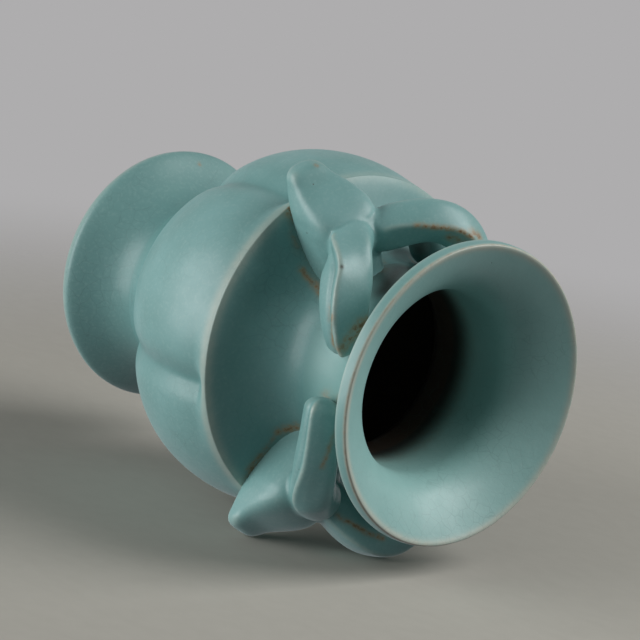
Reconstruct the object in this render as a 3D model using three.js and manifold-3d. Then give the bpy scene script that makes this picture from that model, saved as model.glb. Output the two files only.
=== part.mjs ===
// Zun vase with three ram heads: a flared foot, a lobed belly, a sharp shoulder ridge, a wide neck
// and a trumpet mouth. It is built as a potter builds it: thrown rings stacked on flat seams, with
// modelled heads and horns set against them. Millimetres, +Z up the axis, the base on Z = 0.
import * as THREE from "three";
import { mergeVertices } from "three/addons/utils/BufferGeometryUtils.js";
import Module from "manifold-3d";

// Driving dimensions of the thrown body, from the base to the lip.
const FOOT_RADIUS = 63.2;
const FOOT_EDGE_HEIGHT = 5.2;
const FOOT_EDGE_INSET = 2.8;
const WAIST_RADIUS = 44.9;
const WAIST_HEIGHT = 32.6;
const BELLY_RADIUS = 86;
const BELLY_HEIGHT = 116;
const RIDGE_RADIUS = 81.5;
const RIDGE_HEIGHT = 143.1;
const RIDGE_ROUNDING = 0.8;
const NECK_RADIUS = 47;
const NECK_BASE_HEIGHT = 170;
const FLARE_BASE_HEIGHT = 187;
const MOUTH_RADIUS = 69.5;
const HEIGHT = 225;
const LIP_HEIGHT = 5.6;
const LIP_ROUNDING = 1.4;

// Driving dimensions of the inside.
const WALL = 5.2;
const NECK_WALL = 4.4;
const THROAT_TOP = 197.6;
const SHOULDER_WALL = 16;

// Pulls of the outline's curves, as [out, up]: how far a curve keeps going the way it sets off
// from an end before it bends away.
const BASE_PULL = [1.9, 0];
const FOOT_EDGE_DOWN = [0, -2.6];
const FOOT_EDGE_UP = [0, 3.3];
const WAIST_DOWN = [0, -14.2];
const WAIST_UP = [0, 26];
const BELLY_DOWN = [0, -54];
const BELLY_UP = [0, 13.5];
const RIDGE_DOWN = [1.4, -4.3];
const RIDGE_IN = [-11.2, 5.1];
const NECK_DOWN = [0.2, -21.5];
const NECK_UP = [0, 19];
const FLARE_IN = [-16, -4.5];
const LIP_UP = [0, 3];
const LIP_OUT = [1.1, 0];
const MOUTH_IN = [-10, -5.3];
const THROAT_UP = [0, 14.4];
const THROAT_DOWN = [1.6, -11.2];
const CEILING_IN = [-10, 2];

// Driving dimensions of the lobes. A groove is a broad valley between two lobes with a narrow
// crease along its bottom, and the first one lies a little round from the front ram's middle.
const LOBES = 5;
const VALLEY_DEPTH = 4;
const CREASE_DEPTH = 2.6;
const CREASE_WIDTH = 8;
const GROOVE_TURN = THREE.MathUtils.degToRad(1.5);
const GROOVE_FADE_IN = 26;
const GROOVE_FADE_OUT = 9;

// Driving dimensions of the ram heads.
const RAMS = ["front", "right", "left"];
const FRONT_RAM_ANGLE = -Math.PI / 2;
const MUZZLE_REACH = 98;
const MUZZLE_TOP = 154.5;
const MUZZLE_BOTTOM = 140.4;
const MUZZLE_HALF_WIDTH = 9.8;
const MUZZLE_BEVEL = 4.5;
const MUZZLE_END_INSET = 3.2;
const CROWN_RADIUS = 77;
const CROWN_HEIGHT = 178.5;
const CROWN_BACK_DROP = 3;
const FACE_ARCH = 3.8;
const BROW_HALF_WIDTH = 18.2;
const NAPE_HALF_WIDTH = 15;
const CHIN_SHARE = 0.74;
const HEAD_SQUARENESS = 0.6;
const HEAD_ROOT_DEPTH = 4;

// Driving dimensions of the horns. Each was bent by hand, so no two follow quite the same line:
// root is the radius and height of its middle where it grows from the head, tip is how far its
// middle stands out from the neck and its height where it ends, start and turn are the angles from
// the middle of the head to its root and to its tip, in degrees, bow is how far its middle leaves
// the neck, and swell is how much it widens there.
const HORN_ROOT_THICKNESS = 19;
const HORN_TIP_THICKNESS = 15;
const HORN_DEPTH_SHARE = 1.05;
const HORN_LINGER = 2;
const HORN_CLIMB = 2.5;
const HORN_BENDS = [
  {
    left: { start: 6.2, root: [66.5, 178], tip: [3, 196.9], turn: 43, bow: 0, swell: 5 },
    right: { start: 12.5, root: [66, 175], tip: [4.5, 194], turn: 57, bow: 7, swell: 1 },
  },
  {
    left: { start: 11.5, root: [66, 171], tip: [4, 196], turn: 48, bow: 14, swell: 0 },
    right: { start: 5.5, root: [68.5, 182], tip: [5.5, 191.5], turn: 50, bow: -7, swell: 0 },
  },
  {
    left: { start: 9, root: [65, 173], tip: [7, 170], turn: 74, bow: 3, swell: 1 },
    right: { start: 9.5, root: [66, 175], tip: [5, 195], turn: 49, bow: 6, swell: 2 },
  },
];

// Clearance where a modelled piece lies against a curved one.
const FIT_GAP = 0.3;

// How finely curves are cut.
const LOBE_STEPS = 12;
const AROUND = LOBES * LOBE_STEPS;
const HEAD_SIDES = 14;
const HEAD_STEPS = 7;
const HORN_SIDES = 10;
const HORN_STEPS = 12;

const THROAT_RADIUS = NECK_RADIUS - NECK_WALL;

const wasm = await Module();
wasm.setup();

const at = (radius, height) => new THREE.Vector2(radius, height);

// A curve of an outline that leaves its start along one pull and reaches its end along another.
function bend(start, startPull, end, endPull, steps) {
  const leaving = start.clone().add(at(...startPull));
  const arriving = end.clone().add(at(...endPull));
  return new THREE.CubicBezierCurve(start, leaving, arriving, end).getPoints(steps);
}

// The outer outlines, each from its lower end to its upper end.

function baseOutline() {
  const bottom = at(FOOT_RADIUS - FOOT_EDGE_INSET, 0);
  return bend(bottom, BASE_PULL, at(FOOT_RADIUS, FOOT_EDGE_HEIGHT), FOOT_EDGE_DOWN, 4);
}

function footOutline() {
  const edge = at(FOOT_RADIUS, FOOT_EDGE_HEIGHT);
  return bend(edge, FOOT_EDGE_UP, at(WAIST_RADIUS, WAIST_HEIGHT), WAIST_DOWN, 8);
}

function bellyOutline() {
  const waist = at(WAIST_RADIUS, WAIST_HEIGHT);
  const widest = at(BELLY_RADIUS, BELLY_HEIGHT);
  const ridge = at(RIDGE_RADIUS, RIDGE_HEIGHT);
  const lower = bend(waist, WAIST_UP, widest, BELLY_DOWN, 12);
  const upper = bend(widest, BELLY_UP, ridge, RIDGE_DOWN, 6);
  return [...lower, ...upper.slice(1)];
}

function shoulderOutline() {
  const ridge = at(RIDGE_RADIUS, RIDGE_HEIGHT);
  const inner = at(RIDGE_RADIUS - RIDGE_ROUNDING, RIDGE_HEIGHT + RIDGE_ROUNDING);
  return [ridge, ...bend(inner, RIDGE_IN, at(NECK_RADIUS, NECK_BASE_HEIGHT), NECK_DOWN, 7)];
}

function mouthOutline() {
  const neck = at(NECK_RADIUS, FLARE_BASE_HEIGHT);
  const under = at(MOUTH_RADIUS, HEIGHT - LIP_HEIGHT);
  const crest = at(MOUTH_RADIUS - LIP_ROUNDING, HEIGHT);
  const flare = bend(neck, NECK_UP, under, FLARE_IN, 7);
  const lip = bend(under, LIP_UP, crest, LIP_OUT, 4);
  return [at(NECK_RADIUS, NECK_BASE_HEIGHT), ...flare, ...lip.slice(1)];
}

// The inside of the mouth and neck, from the lip down to where the throat runs straight.
function throatOutline() {
  const lip = at(MOUTH_RADIUS - 2 * LIP_ROUNDING, HEIGHT - LIP_ROUNDING / 3);
  return bend(lip, MOUTH_IN, at(THROAT_RADIUS, THROAT_TOP), THROAT_UP, 8);
}

// The inside of the shoulder, from the throat out to the ridge.
function ceilingOutline() {
  const throat = at(THROAT_RADIUS, RIDGE_HEIGHT + SHOULDER_WALL);
  return bend(throat, THROAT_DOWN, at(RIDGE_RADIUS - WALL, RIDGE_HEIGHT), CEILING_IN, 6);
}

// An outline moved in by the wall, from its upper end back to its lower end.
function inside(outline) {
  return outline.map((point) => at(point.x - WALL, point.y)).reverse();
}

// How far the belly is pressed in: nothing at the waist and the ridge, most along a groove.
function groove(angle, height) {
  const halfLobe = Math.PI / LOBES;
  const round = angle - FRONT_RAM_ANGLE - GROOVE_TURN;
  const away = Math.abs(THREE.MathUtils.euclideanModulo(round + halfLobe, 2 * halfLobe) - halfLobe);
  const valley = VALLEY_DEPTH * (1 - away / halfLobe) ** 2;
  const crease = CREASE_DEPTH * Math.exp(-(((away * BELLY_RADIUS) / CREASE_WIDTH) ** 2));
  const fadeOut = RIDGE_HEIGHT - GROOVE_FADE_OUT;
  const rising = THREE.MathUtils.smoothstep(height, WAIST_HEIGHT, WAIST_HEIGHT + GROOVE_FADE_IN);
  const falling = 1 - THREE.MathUtils.smoothstep(height, fadeOut, RIDGE_HEIGHT);
  return rising * falling * (valley + crease);
}

// Turns a closed outline round the axis, from a groove back to it, and presses the grooves in.
function thrown(outline) {
  const turned = new THREE.LatheGeometry([...outline, outline[0].clone()], AROUND, GROOVE_TURN);
  turned.rotateX(Math.PI / 2);
  const place = turned.getAttribute("position");
  for (let i = 0; i < place.count; i += 1) {
    const radius = Math.hypot(place.getX(i), place.getY(i));
    if (radius > 0) {
      const angle = Math.atan2(place.getY(i), place.getX(i));
      const share = (radius - groove(angle, place.getZ(i))) / radius;
      place.setXY(i, place.getX(i) * share, place.getY(i) * share);
    }
  }
  turned.computeVertexNormals();
  return turned;
}

// A closed geometry as a solid that can be cut.
function solid(geometry) {
  const bare = geometry.clone();
  bare.deleteAttribute("normal");
  bare.deleteAttribute("uv");
  const merged = mergeVertices(bare, 1e-3);
  const vertProperties = merged.getAttribute("position").array;
  const triVerts = new Uint32Array(merged.index.array);
  return new wasm.Manifold(new wasm.Mesh({ numProp: 3, vertProperties, triVerts }));
}

// The largest single body of a solid, as a geometry.
function geometryOf(whole) {
  const bodies = whole.decompose().sort((a, b) => b.volume() - a.volume());
  const mesh = bodies[0].getMesh();
  const geometry = new THREE.BufferGeometry();
  const corners = new Float32Array(mesh.vertProperties);
  geometry.setAttribute("position", new THREE.BufferAttribute(corners, 3));
  geometry.setIndex([...mesh.triVerts]);
  const faceted = geometry.toNonIndexed();
  faceted.computeVertexNormals();
  return faceted;
}

// A closed skin over rings that all have the same number of points.
function loft(rings) {
  const sides = rings[0].length;
  const middle = (ring) =>
    ring.reduce((sum, p) => sum.add(p), new THREE.Vector3()).divideScalar(ring.length);
  const points = [...rings.flat(), middle(rings[0]), middle(rings[rings.length - 1])];
  const first = rings.length * sides;
  const last = first + 1;
  const faces = [];
  for (let i = 0; i < sides; i += 1) {
    const next = (i + 1) % sides;
    faces.push(first, next, i);
    faces.push(last, (rings.length - 1) * sides + i, (rings.length - 1) * sides + next);
    for (let k = 0; k + 1 < rings.length; k += 1) {
      const low = k * sides;
      const high = low + sides;
      faces.push(low + i, low + next, high + next);
      faces.push(low + i, high + next, high + i);
    }
  }
  return new THREE.BufferGeometry().setFromPoints(points).setIndex(faces);
}

// The whole body with no hollow, grown by the fitting gap: what the heads and horns are cut by.
function filledBody() {
  const skin = [
    ...baseOutline(),
    ...footOutline().slice(1),
    ...bellyOutline().slice(1),
    ...shoulderOutline().slice(1),
    ...mouthOutline().slice(1),
  ];
  const grown = skin.map((point, i) => {
    const before = skin[Math.max(i - 1, 0)];
    const after = skin[Math.min(i + 1, skin.length - 1)];
    const along = after.clone().sub(before).normalize();
    return at(point.x + along.y * FIT_GAP, point.y - along.x * FIT_GAP);
  });
  const top = at(0, HEIGHT + FIT_GAP);
  return solid(thrown([at(0, 0), ...grown, top]));
}

// A slice of a ram's head, square to the line from the axis out to the muzzle. It narrows to the
// chin, and grow widens it all round.
function headSlice(radius, bottom, top, halfWidth, grow) {
  const ring = [];
  const middle = (top + bottom) / 2;
  const halfHeight = (top - bottom) / 2 + grow;
  const squared = (value) => Math.sign(value) * Math.abs(value) ** HEAD_SQUARENESS;
  for (let i = 0; i < HEAD_SIDES; i += 1) {
    const turn = (2 * Math.PI * i) / HEAD_SIDES;
    const up = squared(Math.sin(turn));
    const half = halfWidth * THREE.MathUtils.lerp(CHIN_SHARE, 1, (up + 1) / 2) + grow;
    ring.push(new THREE.Vector3(radius, half * squared(Math.cos(turn)), middle + up * halfHeight));
  }
  return ring;
}

// A ram's head pointing along +X: it starts inside the neck, and its face falls to the muzzle.
function ramHead(grow) {
  const back = NECK_RADIUS - HEAD_ROOT_DEPTH;
  const nape = CROWN_HEIGHT - CROWN_BACK_DROP;
  const rings = [headSlice(back, MUZZLE_BOTTOM, nape, NAPE_HALF_WIDTH, grow)];
  for (let i = 0; i <= HEAD_STEPS; i += 1) {
    const share = i / HEAD_STEPS;
    const radius = THREE.MathUtils.lerp(CROWN_RADIUS, MUZZLE_REACH - MUZZLE_BEVEL, share);
    const arch = FACE_ARCH * Math.sin(Math.PI * share);
    const top = THREE.MathUtils.lerp(CROWN_HEIGHT, MUZZLE_TOP, share) + arch;
    const half = THREE.MathUtils.lerp(BROW_HALF_WIDTH, MUZZLE_HALF_WIDTH, share);
    rings.push(headSlice(radius, MUZZLE_BOTTOM, top, half, grow));
  }
  const low = MUZZLE_BOTTOM + MUZZLE_END_INSET;
  const high = MUZZLE_TOP - MUZZLE_END_INSET;
  const half = MUZZLE_HALF_WIDTH - MUZZLE_END_INSET;
  rings.push(headSlice(MUZZLE_REACH + grow, low, high, half, grow));
  return loft(rings);
}

// One horn of the head that points along +X. side is 1 for the left horn and -1 for the right one.
function ramHorn(side, { start, root, tip, turn, bow, swell }) {
  const tipRadius = NECK_RADIUS + tip[0];
  const centre = (share) => {
    const angle = THREE.MathUtils.degToRad(THREE.MathUtils.lerp(start, turn, share));
    const bulge = bow * Math.sin(Math.PI * share);
    const radius = THREE.MathUtils.lerp(root[0], tipRadius, share ** HORN_LINGER) + bulge;
    const height = THREE.MathUtils.lerp(root[1], tip[1], 1 - (1 - share) ** HORN_CLIMB);
    return new THREE.Vector3(radius * Math.cos(angle), side * radius * Math.sin(angle), height);
  };
  const path = [];
  for (let i = 0; i <= HORN_STEPS; i += 1) path.push(centre(i / HORN_STEPS));
  const rings = path.map((point, i) => {
    const before = path[Math.max(i - 1, 0)];
    const after = path[Math.min(i + 1, HORN_STEPS)];
    const along = after.clone().sub(before).normalize();
    const across = new THREE.Vector3(0, 0, 1).cross(along).normalize();
    const over = along.clone().cross(across);
    const share = i / HORN_STEPS;
    const half = THREE.MathUtils.lerp(HORN_ROOT_THICKNESS, HORN_TIP_THICKNESS, share) / 2;
    const wide = half + (swell / 2) * Math.sin(Math.PI * share);
    const ring = [];
    for (let k = 0; k < HORN_SIDES; k += 1) {
      const around = (2 * Math.PI * k) / HORN_SIDES;
      ring.push(
        point
          .clone()
          .addScaledVector(across, wide * Math.cos(around))
          .addScaledVector(over, half * HORN_DEPTH_SHARE * Math.sin(around)),
      );
    }
    return ring;
  });
  return loft(rings);
}

// The thrown rings, each a closed outline: outer face up, then inner face down.

function basePlate() {
  return thrown([at(0, 0), ...baseOutline(), at(0, FOOT_EDGE_HEIGHT)]);
}

function foot() {
  const outer = footOutline();
  return thrown([...outer, ...inside(outer)]);
}

function belly() {
  const outer = bellyOutline();
  return thrown([...outer, ...inside(outer)]);
}

function shoulder() {
  return thrown([...shoulderOutline(), at(THROAT_RADIUS, NECK_BASE_HEIGHT), ...ceilingOutline()]);
}

function neckAndMouth() {
  return thrown([...mouthOutline(), ...throatOutline(), at(THROAT_RADIUS, NECK_BASE_HEIGHT)]);
}

// Adds a glazed piece under its own name.
function addPiece(group, name, geometry, color) {
  const glaze = new THREE.MeshStandardMaterial({ color, roughness: 0.32, metalness: 0 });
  const mesh = new THREE.Mesh(geometry, glaze);
  mesh.name = name;
  group.add(mesh);
}

function addThrownBody(group) {
  addPiece(group, "base_plate", basePlate(), 0x699090);
  addPiece(group, "foot", foot(), 0x699090);
  addPiece(group, "belly", belly(), 0x85abac);
  addPiece(group, "shoulder", shoulder(), 0x7ea09f);
  addPiece(group, "neck_mouth", neckAndMouth(), 0x8dafb1);
}

function addRam(group, place, turn, bends, body) {
  const set = (piece) => piece.rotate([0, 0, THREE.MathUtils.radToDeg(turn)]);
  const room = set(solid(ramHead(FIT_GAP)));
  const head = set(solid(ramHead(0))).subtract(body);
  const left = set(solid(ramHorn(1, bends.left))).subtract(body).subtract(room);
  const right = set(solid(ramHorn(-1, bends.right))).subtract(body).subtract(room);
  addPiece(group, `ram_head_${place}`, geometryOf(head), 0x85aaaa);
  addPiece(group, `horn_${place}_left`, geometryOf(left), 0x85aaaa);
  addPiece(group, `horn_${place}_right`, geometryOf(right), 0x85aaaa);
}

function zun() {
  const group = new THREE.Group();
  addThrownBody(group);
  const body = filledBody();
  RAMS.forEach((place, i) => {
    const turn = FRONT_RAM_ANGLE + (2 * Math.PI * i) / RAMS.length;
    addRam(group, place, turn, HORN_BENDS[i], body);
  });
  return group;
}

export default zun();
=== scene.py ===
"""Looks of a blue-green glazed zun vase with three rams' heads, lying on its side on a table.

Every length is in metres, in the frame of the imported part: +Z runs up the vase's axis from the
base to the lip, and -Y runs out through the front ram's head.
"""

from __future__ import annotations

import logging
import math
from dataclasses import dataclass, field
from enum import Enum

import bpy
import numpy as np
from mathutils import Matrix, Vector
from mathutils.kdtree import KDTree


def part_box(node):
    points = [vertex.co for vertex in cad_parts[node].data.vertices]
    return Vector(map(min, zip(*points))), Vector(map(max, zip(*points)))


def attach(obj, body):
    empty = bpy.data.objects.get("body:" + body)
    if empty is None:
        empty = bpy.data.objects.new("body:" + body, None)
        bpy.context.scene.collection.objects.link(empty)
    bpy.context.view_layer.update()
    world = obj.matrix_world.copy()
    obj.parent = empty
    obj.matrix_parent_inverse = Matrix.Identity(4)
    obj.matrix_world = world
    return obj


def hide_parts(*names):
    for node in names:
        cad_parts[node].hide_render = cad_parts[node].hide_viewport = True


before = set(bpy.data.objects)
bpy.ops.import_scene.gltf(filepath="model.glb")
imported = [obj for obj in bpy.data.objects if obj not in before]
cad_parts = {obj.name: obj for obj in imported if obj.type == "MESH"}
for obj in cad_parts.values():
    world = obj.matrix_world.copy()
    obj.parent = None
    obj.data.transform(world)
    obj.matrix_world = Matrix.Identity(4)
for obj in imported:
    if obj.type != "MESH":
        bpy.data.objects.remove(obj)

log = logging.getLogger("zun")

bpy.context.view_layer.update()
MM = 0.001
BODY = "root"

# The front ram faces along -Y, and the rams and lobes are spaced evenly from it.
FRONT_RAM_ANGLE = -math.pi / 2
RAM_COUNT = 3
LOBES = 5

# A length in metres, or a direction's length, that counts as none.
TINY = 1e-6

# A radius and a height, the two pulls that bend a curve, and a low and a high value.
Place = tuple[float, float]
Pulls = tuple[Place, Place]
Span = tuple[float, float]


def linear(hex_colour: str) -> tuple[float, float, float, float]:
    """Turns an sRGB hex colour to a linear one, by the standard's own curve.

    Args:
        hex_colour: Six hex digits, such as "85abac".

    Returns:
        Red, green, blue and an alpha of 1.
    """
    parts = [int(hex_colour[i : i + 2], 16) / 255 for i in (0, 2, 4)]
    red, green, blue = (v / 12.92 if v <= 0.04045 else ((v + 0.055) / 1.055) ** 2.4 for v in parts)
    return red, green, blue, 1.0


def polar(radius: float, angle: float, height: float) -> np.ndarray:
    """Gives the point at a radius and an angle round the vase's axis, at a height.

    Args:
        radius: Distance from the axis.
        angle: Angle round the axis from +X, in radians.
        height: Height above the base.

    Returns:
        The point.
    """
    return np.array([radius * math.cos(angle), radius * math.sin(angle), height])


def smoothstep(value: np.ndarray, low: float, high: float) -> np.ndarray:
    """Rises smoothly from 0 at low to 1 at high.

    Args:
        value: What is measured.
        low: Where the rise starts.
        high: Where it ends.

    Returns:
        The share, from 0 to 1.
    """
    share = np.clip((value - low) / (high - low), 0, 1)
    return share * share * (3 - 2 * share)


def hump(value: np.ndarray, centre: float, width: float) -> np.ndarray:
    """Gives a bell-shaped hump.

    Args:
        value: What is measured.
        centre: Where the hump stands.
        width: How far from there it falls to a third.

    Returns:
        A share that is 1 at the centre.
    """
    return np.exp(-(((value - centre) / width) ** 2))


@dataclass(frozen=True)
class Curve:
    """A stretch of an outline, from a start to an end of radius and height.

    The first pull is how far the curve is drawn out from its start, and the second how far it is
    drawn back from its end, before it bends to meet the other. The fineness divides the step.
    """

    start: Place
    end: Place
    pulls: Pulls
    fineness: int = 1
    fine_points: int = 400
    seam_gap: float = 0.06 * MM
    seam_share: float = 1 / 8

    def points(self, step: float) -> np.ndarray:
        """Cuts the curve into points about a step apart, with one more close to each end.

        The close points let the shading run on unbroken over a seam with the next piece.

        Args:
            step: Distance from point to point.

        Returns:
            Rows of radius and height, both ends included.
        """
        step = step / self.fineness
        a, d = np.array(self.start), np.array(self.end)
        b, c = a + np.array(self.pulls[0]), d + np.array(self.pulls[1])
        fine = np.linspace(0, 1, self.fine_points)[:, None]
        path = a * (1 - fine) ** 3 + 3 * b * fine * (1 - fine) ** 2
        path = path + 3 * c * fine**2 * (1 - fine) + d * fine**3
        along = np.concatenate([[0], np.cumsum(np.linalg.norm(np.diff(path, axis=0), axis=1))])
        wanted = np.linspace(0, along[-1], max(3, round(along[-1] / step) + 1))
        close = min(self.seam_gap, step * self.seam_share)
        wanted = np.concatenate([[0, close], wanted[1:-1], [along[-1] - close, along[-1]]])
        return np.stack([np.interp(wanted, along, path[:, i]) for i in (0, 1)], axis=1)


class Wall(Enum):
    """A wall of the thrown body. Outlines run upwards outside and back down inside."""

    BASE = "edge of the base"
    FOOT = "foot"
    BELLY = "belly"
    SHOULDER = "shoulder"
    MOUTH = "neck and mouth"
    THROAT = "inside of the mouth and neck"
    CEILING = "inside of the shoulder, from the throat out"


@dataclass(frozen=True)
class VaseSizes:
    """Sizes of the thrown body. The heights and outer radii of the seams come from the frame.

    Each pair of pulls bends one stretch of the outline. A wave of the wall has a strength, a number
    of crests round the axis, a climb and a shift.
    """

    base_edge_height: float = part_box("foot")[0].z
    foot_radius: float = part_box("foot")[1].x
    foot_edge_inset: float = 2.8 * MM
    waist_radius: float = 44.9 * MM
    waist_height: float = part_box("belly")[0].z
    belly_radius: float = 85.9 * MM
    belly_height: float = 116 * MM
    ridge_radius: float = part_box("shoulder")[1].x
    ridge_height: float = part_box("shoulder")[0].z
    ridge_rounding: float = 0.8 * MM
    neck_radius: float = 47 * MM
    neck_base_height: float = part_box("neck_mouth")[0].z
    flare_base_height: float = 187 * MM
    mouth_radius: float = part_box("neck_mouth")[1].x
    height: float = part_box("neck_mouth")[1].z
    lip_height: float = 5.6 * MM
    lip_rounding: float = 1.4 * MM
    wall: float = 5.2 * MM
    neck_wall: float = 4.4 * MM
    throat_top: float = 197.6 * MM
    shoulder_wall: float = 16 * MM
    base_pulls: Pulls = ((1.9 * MM, 0), (0, -2.6 * MM))
    foot_pulls: Pulls = ((0, 3.3 * MM), (0, -14.2 * MM))
    lower_belly_pulls: Pulls = ((0, 26 * MM), (0, -54 * MM))
    upper_belly_pulls: Pulls = ((0, 13.5 * MM), (1.4 * MM, -4.3 * MM))
    ridge_pulls: Pulls = ((0, 0.45 * MM), (0.4 * MM, -0.15 * MM))
    shoulder_pulls: Pulls = ((-11.2 * MM, 5.1 * MM), (0.2 * MM, -21.5 * MM))
    neck_pulls: Pulls = ((0, 1 * MM), (0, -1 * MM))
    flare_pulls: Pulls = ((0, 19 * MM), (-16 * MM, -4.5 * MM))
    lip_pulls: Pulls = ((0, 3 * MM), (1.1 * MM, 0))
    lip_top_pulls: Pulls = ((-0.5 * MM, 0), (0.5 * MM, 0.26 * MM))
    bowl_pulls: Pulls = ((-10 * MM, -5.3 * MM), (0, 14.4 * MM))
    throat_pulls: Pulls = ((0, -1 * MM), (0, 1 * MM))
    ceiling_pulls: Pulls = ((1.6 * MM, -11.2 * MM), (-10 * MM, 2 * MM))
    base_fineness: int = 3
    edge_fineness: int = 4
    valley_depth: float = 4 * MM
    crease_depth: float = 2.6 * MM
    crease_width: float = 8 * MM
    groove_turn: float = math.radians(1.5)
    groove_fade_in: float = 26 * MM
    groove_fade_out: float = 9 * MM
    wave_depth: float = 0.06 * MM
    wave_climb: float = 70 * MM
    waves: tuple[tuple[float, int, float, float], ...] = (
        (1.0, 2, 3.1, 0.0),
        (0.6, 5, -6.3, 1.3),
        (0.5, 9, 11.0, 0.4),
    )

    @property
    def throat_radius(self) -> float:
        """Inner radius of the neck."""
        return self.neck_radius - self.neck_wall

    def curves(self, wall: Wall) -> tuple[Curve, ...]:
        """Gives the curves of a wall's outline.

        Args:
            wall: The wall.

        Returns:
            The curves, in the order in which the outline runs.
        """
        bottom = (self.foot_radius - self.foot_edge_inset, 0.0)
        foot_edge = (self.foot_radius, self.base_edge_height)
        waist = (self.waist_radius, self.waist_height)
        widest = (self.belly_radius, self.belly_height)
        ridge = (self.ridge_radius, self.ridge_height)
        above_ridge = (self.ridge_radius - self.ridge_rounding, self.ridge_height + self.ridge_rounding)
        neck_base = (self.neck_radius, self.neck_base_height)
        neck_top = (self.neck_radius, self.flare_base_height)
        under_lip = (self.mouth_radius, self.height - self.lip_height)
        crest = (self.mouth_radius - self.lip_rounding, self.height)
        inner_lip = (self.mouth_radius - 2 * self.lip_rounding, self.height - self.lip_rounding / 3)
        throat_top = (self.throat_radius, self.throat_top)
        throat_base = (self.throat_radius, self.neck_base_height)
        ceiling_top = (self.throat_radius, self.ridge_height + self.shoulder_wall)
        ceiling_rim = (self.ridge_radius - self.wall, self.ridge_height)
        made = {
            Wall.BASE: (Curve(bottom, foot_edge, self.base_pulls, self.base_fineness),),
            Wall.FOOT: (Curve(foot_edge, waist, self.foot_pulls),),
            Wall.BELLY: (
                Curve(waist, widest, self.lower_belly_pulls),
                Curve(widest, ridge, self.upper_belly_pulls),
            ),
            Wall.SHOULDER: (
                Curve(ridge, above_ridge, self.ridge_pulls, self.edge_fineness),
                Curve(above_ridge, neck_base, self.shoulder_pulls),
            ),
            Wall.MOUTH: (
                Curve(neck_base, neck_top, self.neck_pulls),
                Curve(neck_top, under_lip, self.flare_pulls),
                Curve(under_lip, crest, self.lip_pulls, self.edge_fineness),
            ),
            Wall.THROAT: (
                Curve(crest, inner_lip, self.lip_top_pulls, self.edge_fineness),
                Curve(inner_lip, throat_top, self.bowl_pulls),
                Curve(throat_top, throat_base, self.throat_pulls),
            ),
            Wall.CEILING: (Curve(ceiling_top, ceiling_rim, self.ceiling_pulls),),
        }
        return made[wall]

    def outline(self, step: float, *walls: Wall) -> np.ndarray:
        """Cuts the joined outline of walls that meet into points.

        Args:
            step: Distance from point to point.
            walls: The walls, in order.

        Returns:
            Rows of radius and height.
        """
        cut = [curve.points(step) for wall in walls for curve in self.curves(wall)]
        return np.concatenate([cut[0], *(points[1:] for points in cut[1:])])

    def inside(self, outline: np.ndarray) -> np.ndarray:
        """An outer outline moved in by the wall, and turned to run downwards."""
        return outline[::-1] - np.array([self.wall, 0.0])

    def groove(self, angle: np.ndarray, height: np.ndarray) -> np.ndarray:
        """How far the belly is pressed in between its lobes.

        Args:
            angle: Angle round the axis, in radians.
            height: Height above the base.

        Returns:
            The depth at each point.
        """
        half = math.pi / LOBES
        turned = angle - FRONT_RAM_ANGLE - self.groove_turn
        away = np.abs(np.mod(turned + half, 2 * half) - half)
        valley = self.valley_depth * (1 - away / half) ** 2
        crease = self.crease_depth * hump(away * self.belly_radius, 0, self.crease_width)
        rising = smoothstep(height, self.waist_height, self.waist_height + self.groove_fade_in)
        falling = 1 - smoothstep(height, self.ridge_height - self.groove_fade_out, self.ridge_height)
        return rising * falling * (valley + crease)

    def unevenness(self, angle: np.ndarray, height: np.ndarray) -> np.ndarray:
        """Slow waves that a hand leaves in a thrown wall and its pooled glaze.

        Args:
            angle: Angle round the axis, in radians.
            height: Height above the base.

        Returns:
            How far each point lies inside the true outline, never below 0.
        """
        inward = np.zeros_like(angle)
        for strength, crests, climb, shift in self.waves:
            turn = crests * angle + climb * height / self.wave_climb + shift
            inward += strength * (1 + np.sin(turn))
        return self.wave_depth * inward


SIZES = VaseSizes()


class Mark(Enum):
    """What a point attribute says about the glaze at that point."""

    # Thin glaze; over the shoulder's ridge partly a painted highlight.
    THIN = "thin_glaze"
    # Pooled glaze; on the shoulder and at the neck's foot also painted shade.
    POOLED = "pooled_glaze"
    RUST = "iron_rust"
    # Bare clay; inside the vase, low in the throat and in two dark patches also painted shade.
    BARE = "bare_clay"


@dataclass
class Skin:
    """A mesh in the making: points, faces and the marks that its glaze takes."""

    points: np.ndarray
    faces: list[tuple[int, ...]]
    marks: dict[Mark, np.ndarray] = field(default_factory=dict)
    sharp_angle: float = math.radians(60)

    def make(self, name: str) -> bpy.types.Object:
        """Makes the smooth-shaded object.

        Args:
            name: Name of the piece.

        Returns:
            The object, linked into the scene.
        """
        mesh = bpy.data.meshes.new(name)
        mesh.from_pydata(self.points.tolist(), [], self.faces)
        mesh.polygons.foreach_set("use_smooth", [True] * len(mesh.polygons))
        mesh.set_sharp_from_angle(angle=self.sharp_angle)
        for mark, values in self.marks.items():
            layer = mesh.attributes.new(mark.value, "FLOAT", "POINT")
            layer.data.foreach_set("value", np.clip(values, 0, 1).astype(np.float32))
        mesh.update()
        piece = bpy.data.objects.new(name, mesh)
        bpy.context.scene.collection.objects.link(piece)
        return piece


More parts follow.
